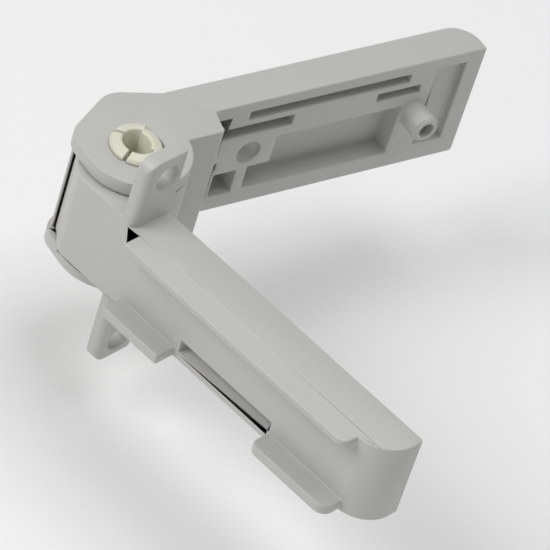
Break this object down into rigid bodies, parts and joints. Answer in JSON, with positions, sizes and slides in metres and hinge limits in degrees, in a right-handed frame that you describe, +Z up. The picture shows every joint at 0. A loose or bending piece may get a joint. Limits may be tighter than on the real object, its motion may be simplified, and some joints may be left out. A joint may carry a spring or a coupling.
{
  "type": "fridge door hinge",
  "caption": "Plastic fridge door hinge: a cabinet bracket with screw lugs and a ribbed door arm turn on a split snap sleeve.",
  "frame": {"origin": "on the hinge axis, level with the top of the door arm's upper ear", "axes": "+Z up along the hinge axis, +X along the bracket arm away from the pivot, +Y towards the hidden back of the bracket"},
  "size_m": [0.0933, 0.0986, 0.0505],
  "materials": {
    "grey_plastic": "satin moulded",
    "cream_plastic": "satin moulded"
  },
  "bodies": {
    "bracket": {"cabinet_bracket": "grey_plastic"},
    "arm": {"door_arm": "grey_plastic", "pivot_sleeve": "cream_plastic"}
  },
  "joints": [
    {"name": "door_hinge", "type": "hinge", "parent": "bracket", "child": "arm", "pos_m": [0, 0, 0], "axis": [0, 0, 1], "range_deg": [-77, 15]}
  ]
}
